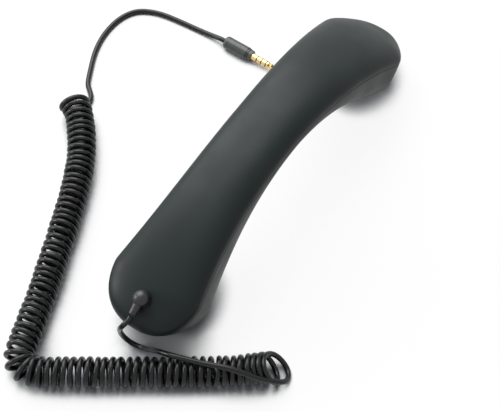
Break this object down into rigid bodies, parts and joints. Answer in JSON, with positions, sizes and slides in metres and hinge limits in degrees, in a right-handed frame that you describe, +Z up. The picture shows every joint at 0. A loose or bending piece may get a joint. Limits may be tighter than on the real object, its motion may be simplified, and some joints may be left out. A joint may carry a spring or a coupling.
{
  "type": "telephone handset",
  "caption": "Arched telephone handset with ear and mouth cups, a call button under the grip and a curly cord that ends in a slim jack plug.",
  "frame": {"origin": "Middle of the handset's length and width, on the surface that it lies on with its back up. The cord and its plug aren't counted.", "axes": "+X along the handset from the mouth end to the ear end, +Y across it, +Z up from the two cups to the back"},
  "size_m": [0.2639, 0.1939, 0.0591],
  "materials": {
    "shell": "soft-touch satin black",
    "trim": "fine-grained black",
    "rubber": "smooth black rubber",
    "cord": "semi-gloss black cord cover",
    "foam": "open foam and dust cloth",
    "frame_resin": "moulded resin",
    "film": "thin film",
    "copper": "lacquered copper wire",
    "magnet": "nickel plate",
    "steel": "zinc plate",
    "weight": "raw steel bar",
    "board": "green lacquered board",
    "capsule": "drawn can",
    "plug": "satin dark grip",
    "plug_metal": "dark satin metal",
    "gold": "polished gold plate"
  },
  "bodies": {
    "root": {"back_shell": "shell", "front_shell": "shell", "ear_grille": "trim", "ear_cloth": "foam", "ear_gasket": "foam", "receiver_frame": "frame_resin", "receiver_diaphragm": "film", "receiver_coil": "copper", "receiver_magnet": "magnet", "receiver_yoke": "steel", "receiver_clamp": "frame_resin", "clamp_screws": "steel", "mic_grille": "trim", "mic_cloth": "foam", "mic_boot": "rubber", "mic_capsule": "capsule", "switch_body": "steel", "circuit_board": "board", "board_screws": "steel", "counterweight": "weight", "weight_screws": "steel", "shell_screws": "steel", "screw_plugs": "rubber", "cord_boot": "rubber", "cord_lead_in": "cord", "curly_cord": "cord", "cord_lead_out": "cord", "plug_body": "plug", "plug_band": "rubber", "plug_collar": "plug_metal", "jack_sleeve": "gold", "jack_ring_2": "gold", "jack_ring_1": "gold", "jack_tip": "gold", "jack_insulators": "rubber"},
    "button": {"call_button": "trim", "switch_plunger": "trim"}
  },
  "joints": [
    {"name": "call_button_press", "type": "slide", "parent": "root", "child": "button", "axis": [0, 0, 1], "range_m": [0, 0.0006], "stiffness_N_per_m": 400, "springref_m": -0.0006}
  ]
}
